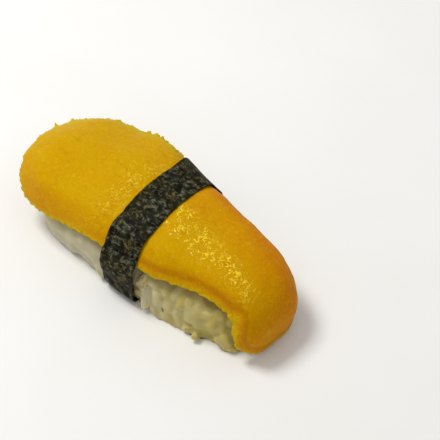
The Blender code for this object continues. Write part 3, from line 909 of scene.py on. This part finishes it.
    def _spots(self, core: Piece, draw: random.Random) -> list[tuple[Vector, Vector]]:
        """Scatter spots over the core, no two closer than the spacing.

        Args:
            core: The core.
            draw: The source of random numbers.

        Returns:
            Each spot's place and the way out of the core there.
        """
        faces = core.data.polygons
        shares = np.cumsum([face.area for face in faces])
        spots: list[tuple[Vector, Vector]] = []
        taken = np.empty((self.tries, 3))
        for _ in range(self.tries):
            face = faces[min(int(np.searchsorted(shares, draw.random() * shares[-1])), len(faces) - 1)]
            if face.normal.z > self.steepest:
                continue
            corners = [core.data.vertices[i].co for i in face.vertices]
            weights = [draw.random() + 0.01 for _ in corners]
            place = sum((c * w for c, w in zip(corners, weights)), Vector()) / sum(weights)
            count = len(spots)
            apart = (taken[:count] - place) * (1, 1, self.spacing_squash)
            if count and np.min(np.sum(apart**2, axis=1)) < self.spacing**2:
                continue
            taken[count] = place
            spots.append((place, face.normal.copy()))
        return spots

    def _frame(self, place: Vector, out: Vector, roll: float, proud: float) -> Matrix:
        """A grain's frame on the core: Z along the grain, X out of the core."""
        level = Vector((0, 0, 1)).cross(out)
        level = level.normalized() if level.length > 0.2 else Vector((1, 0, 0))
        axis = Matrix.Rotation(roll, 3, out) @ level
        axis = (axis - out * axis.dot(out)).normalized()
        turn = Matrix((out, axis.cross(out), axis)).transposed().to_4x4()
        return Matrix.Translation(place + out * proud) @ turn

    def _lay_grains(
        self, core: Piece, grain: Piece, neighbours: list[BVHTree]
    ) -> tuple[Piece, list[tuple[int, float]]]:
        """Copy the grain to every spot where it clears the pieces round the rice.

        Args:
            core: The core.
            grain: The one grain modelled.
            neighbours: Search trees of the pieces to stay clear of.

        Returns:
            All the grains, joined, and for each of their faces its grain's number and tone.
        """
        draw = random.Random(self.seed)
        whole = bmesh.new()
        tones: list[tuple[int, float]] = []
        count = 0
        for place, out in self._spots(core, draw):
            upright = draw.choice((-1, 1)) * math.pi / 2 + draw.gauss(0, self.upright_stray)
            stands = draw.random() < self.upright_share
            roll = upright if stands else draw.uniform(-math.pi / 2, math.pi / 2)
            size = Vector(
                (
                    self.height * draw.uniform(0.9, 1.1),
                    self.width * draw.uniform(0.88, 1.12),
                    self.length * draw.uniform(0.8, 1.06) * (1 - 0.35 * self._softness(place)),
                )
            )
            proud = draw.uniform(*self.proud) - self.soft_sink * self._softness(place)
            tone = draw.random()
            laid = self._settled(grain, self._frame(place, out, roll, proud), size, neighbours)
            if laid is None:
                continue
            before = len(whole.faces)
            whole.from_mesh(laid)
            tones += [(count, tone)] * (len(whole.faces) - before)
            count += 1
            bpy.data.meshes.remove(laid)
        data = bpy.data.meshes.new("rice_grains")
        whole.to_mesh(data)
        whole.free()
        piece = bpy.data.objects.new("rice_grains", data)
        bpy.context.scene.collection.objects.link(piece)
        return piece, tones

    def _settled(
        self, grain: Piece, frame: Matrix, size: Vector, neighbours: list[BVHTree]
    ) -> bpy.types.Mesh | None:
        """Place a grain, slid down or made shorter until it clears the other pieces.

        Args:
            grain: The one grain modelled.
            frame: Where it is to lie.
            size: Its size, out of the core, across and along.
            neighbours: Search trees of the pieces to stay clear of.

        Returns:
            The placed grain's mesh, or None where nothing clears them.
        """
        for share in self.shares:
            for step in range(self.slides):
                slid = Matrix.Translation((0, 0, -step * self.slide)) @ frame
                scale = Matrix.Diagonal((size.x, size.y, size.z * share, 1))
                data = grain.data.copy()
                data.transform(slid @ scale)
                for vert in data.vertices:
                    vert.co.z = max(vert.co.z, self.floor)
                trial = bmesh.new()
                trial.from_mesh(data)
                tree = BVHTree.FromBMesh(trial)
                trial.free()
                if not any(tree.overlap(other) for other in neighbours):
                    return data
                bpy.data.meshes.remove(data)
        return None

    def _press(self, core: Piece, tones: list[tuple[int, float]]) -> None:
        """Press the grains and the core into one body, and pass each grain's tone on to it.

        The body is smoothed and sinks back a little. Where the rice is firm the single grains
        are then laid in it again, so that their shapes stay clear.

        Args:
            core: The core, which is used up.
            tones: For each face of the grains, its grain's number and tone.
        """
        grains, core_tree = tree_of(self.piece), tree_of(core)
        pick(self.piece)
        bpy.ops.object.duplicate()
        body = bpy.context.object
        pick(body)
        core.select_set(True)
        bpy.ops.object.join()
        with_modifier(body, "REMESH", mode="VOXEL", voxel_size=self.press_voxel, use_smooth_shade=True)
        with_modifier(body, "SMOOTH", factor=0.5, iterations=self.fuse_rounds)
        weigh(body, "soft", [self._softness(vert.co) for vert in body.data.vertices])
        with_modifier(body, "SMOOTH", factor=0.5, iterations=self.soft_rounds, vertex_group="soft")
        weigh(body, "firm", [1 - self._softness(vert.co) for vert in body.data.vertices])
        with_modifier(body, "DISPLACE", strength=-self.body_depth, mid_level=0.0, vertex_group="firm")
        body.vertex_groups.clear()
        self._drop_soft_grains()
        pick(self.piece)
        bpy.ops.object.shade_smooth()
        body.select_set(True)
        bpy.ops.object.join()
        self._flatten(core_tree)
        with_modifier(self.piece, "REMESH", mode="VOXEL", voxel_size=self.voxel, use_smooth_shade=True)
        faces = 2 * len(self.piece.data.polygons)
        with_modifier(self.piece, "DECIMATE", ratio=min(self.most_faces / faces, 1.0))
        values = []
        for vert in self.piece.data.vertices:
            sag = self.foot_sag * max(1 - vert.co.z / self.foot, 0.0)
            vert.co.z = max(vert.co.z - sag, self.floor)
            _, _, face, away = grains.find_nearest(vert.co)
            tone = tones[face][1] if away < self.tone_reach else self.gap_tone
            values.append(tone + (self.soft_tone - tone) * 0.8 * self._softness(vert.co))
        store(self.piece, Attribute.TONE, values)
        slice_tree = tree_of(bpy.data.objects["mango_slice"])
        gaps = [slice_tree.find_nearest(vert.co)[3] for vert in self.piece.data.vertices]
        near = [1 - eased(gap / self.stain_reach) for gap in gaps]
        store(self.piece, Attribute.STAIN, near)

    def _drop_soft_grains(self) -> None:
        """Delete the single grains whose middle lies where they blend."""
        mesh = bmesh.new()
        mesh.from_mesh(self.piece.data)
        seen: set[int] = set()
        gone = []
        for start in mesh.verts:
            if start.index in seen:
                continue
            grain, front = [start], [start]
            seen.add(start.index)
            while front:
                for edge in front.pop().link_edges:
                    for vert in edge.verts:
                        if vert.index not in seen:
                            seen.add(vert.index)
                            grain.append(vert)
                            front.append(vert)
            middle = sum((vert.co for vert in grain), Vector()) / len(grain)
            if self._softness(middle) > 0:
                gone += grain
        bmesh.ops.delete(mesh, geom=gone, context="VERTS")
        mesh.to_mesh(self.piece.data)
        mesh.free()

    def _flatten(self, core: BVHTree) -> None:
        """Flatten the grains' backs, as a palm does, so that little stands off the core.

        Args:
            core: The core's search tree.
        """
        for vert in self.piece.data.vertices:
            near, way, _, away = core.find_nearest(vert.co)
            if (vert.co - near).dot(way) > 0 and vert.co.z > 0.1 * MM:
                press = self.press * (1 - 0.6 * self._softness(vert.co))
                vert.co = near + (vert.co - near) * math.tanh(away / press) * press / max(away, 0.01 * MM)
        self.piece.data.update()

    def dress(self) -> None:
        """Give it its finish and its place in the frame."""
        self.piece.data.materials.clear()
        self.piece.data.materials.append(CookedRice().material())
        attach(self.piece, "root")
        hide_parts("rice")


@dataclass
class Studio:
    """The floor, the soft light and the camera."""

    floor_size: float = 1.6
    floor_drop: float = 0.02 * MM  # below the base, so that they don't share a plane
    azimuth: float = math.radians(45.47)
    elevation: float = math.radians(47.31)
    roll: float = math.radians(-1.25)
    distance: float = 0.3389
    aim: tuple[float, float, float] = (7.86 * MM, 9.05 * MM, 12.01 * MM)
    lens: float = 122.0  # in the camera's own millimetres
    light_from: tuple[float, float, float] = (-0.43, -0.12, 0.88)
    light_distance: float = 0.5
    light_size: float = 0.16
    light_power: float = 1.5
    sky: float = 0.55

    def lay_floor(self) -> None:
        """Lay the pale floor."""
        bpy.ops.object.select_all(action="DESELECT")
        bpy.ops.mesh.primitive_plane_add(size=self.floor_size, location=(0, 0, -self.floor_drop))
        floor = bpy.context.object
        floor.name = "floor"
        bpy.ops.object.transform_apply(location=True, rotation=True, scale=True)
        floor.data.materials.append(PaleBoard().material())

    def light(self) -> None:
        """Hang one soft box nearly overhead, in a pale room."""
        way = Vector(self.light_from).normalized()
        bpy.ops.object.light_add(type="AREA", location=way * self.light_distance)
        box = bpy.context.object
        box.name = "soft_box"
        box.rotation_euler = way.to_track_quat("Z", "Y").to_euler()
        box.data.size = self.light_size
        box.data.energy = self.light_power
        world = bpy.data.worlds.new("pale_room")
        world.use_nodes = True
        background = world.node_tree.nodes["Background"]
        background.inputs["Color"].default_value = linear("#ffffff")
        background.inputs["Strength"].default_value = self.sky
        bpy.context.scene.world = world
        bpy.context.scene.view_settings.view_transform = "Standard"

    def set_camera(self) -> None:
        """Stand the camera high, off the near corner of the narrow end."""
        turn = (
            Matrix.Rotation(self.azimuth, 4, "Z")
            @ Matrix.Rotation(math.pi / 2 - self.elevation, 4, "X")
            @ Matrix.Rotation(self.roll, 4, "Z")
        )
        bpy.ops.object.camera_add()
        camera = bpy.context.object
        camera.name = "camera"
        back = Matrix.Translation((0, 0, self.distance))
        camera.matrix_world = Matrix.Translation(Vector(self.aim)) @ turn @ back
        camera.data.lens = self.lens
        camera.data.clip_start = 0.01
        bpy.context.scene.camera = camera


def main() -> None:
    """Build the pieces in order and report each one."""
    logging.basicConfig(level=logging.INFO, format="%(name)s: %(message)s")
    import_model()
    studio = Studio()
    studio.lay_floor()
    studio.light()
    studio.set_camera()
    mango = MangoSlice()
    mango.build()
    mango.dress()
    nori = NoriStrip()
    nori.build()
    nori.dress()
    rice = RiceBlock()
    rice.build([mango.piece, nori.piece])
    rice.dress()


if __name__ == "__main__":
    main()
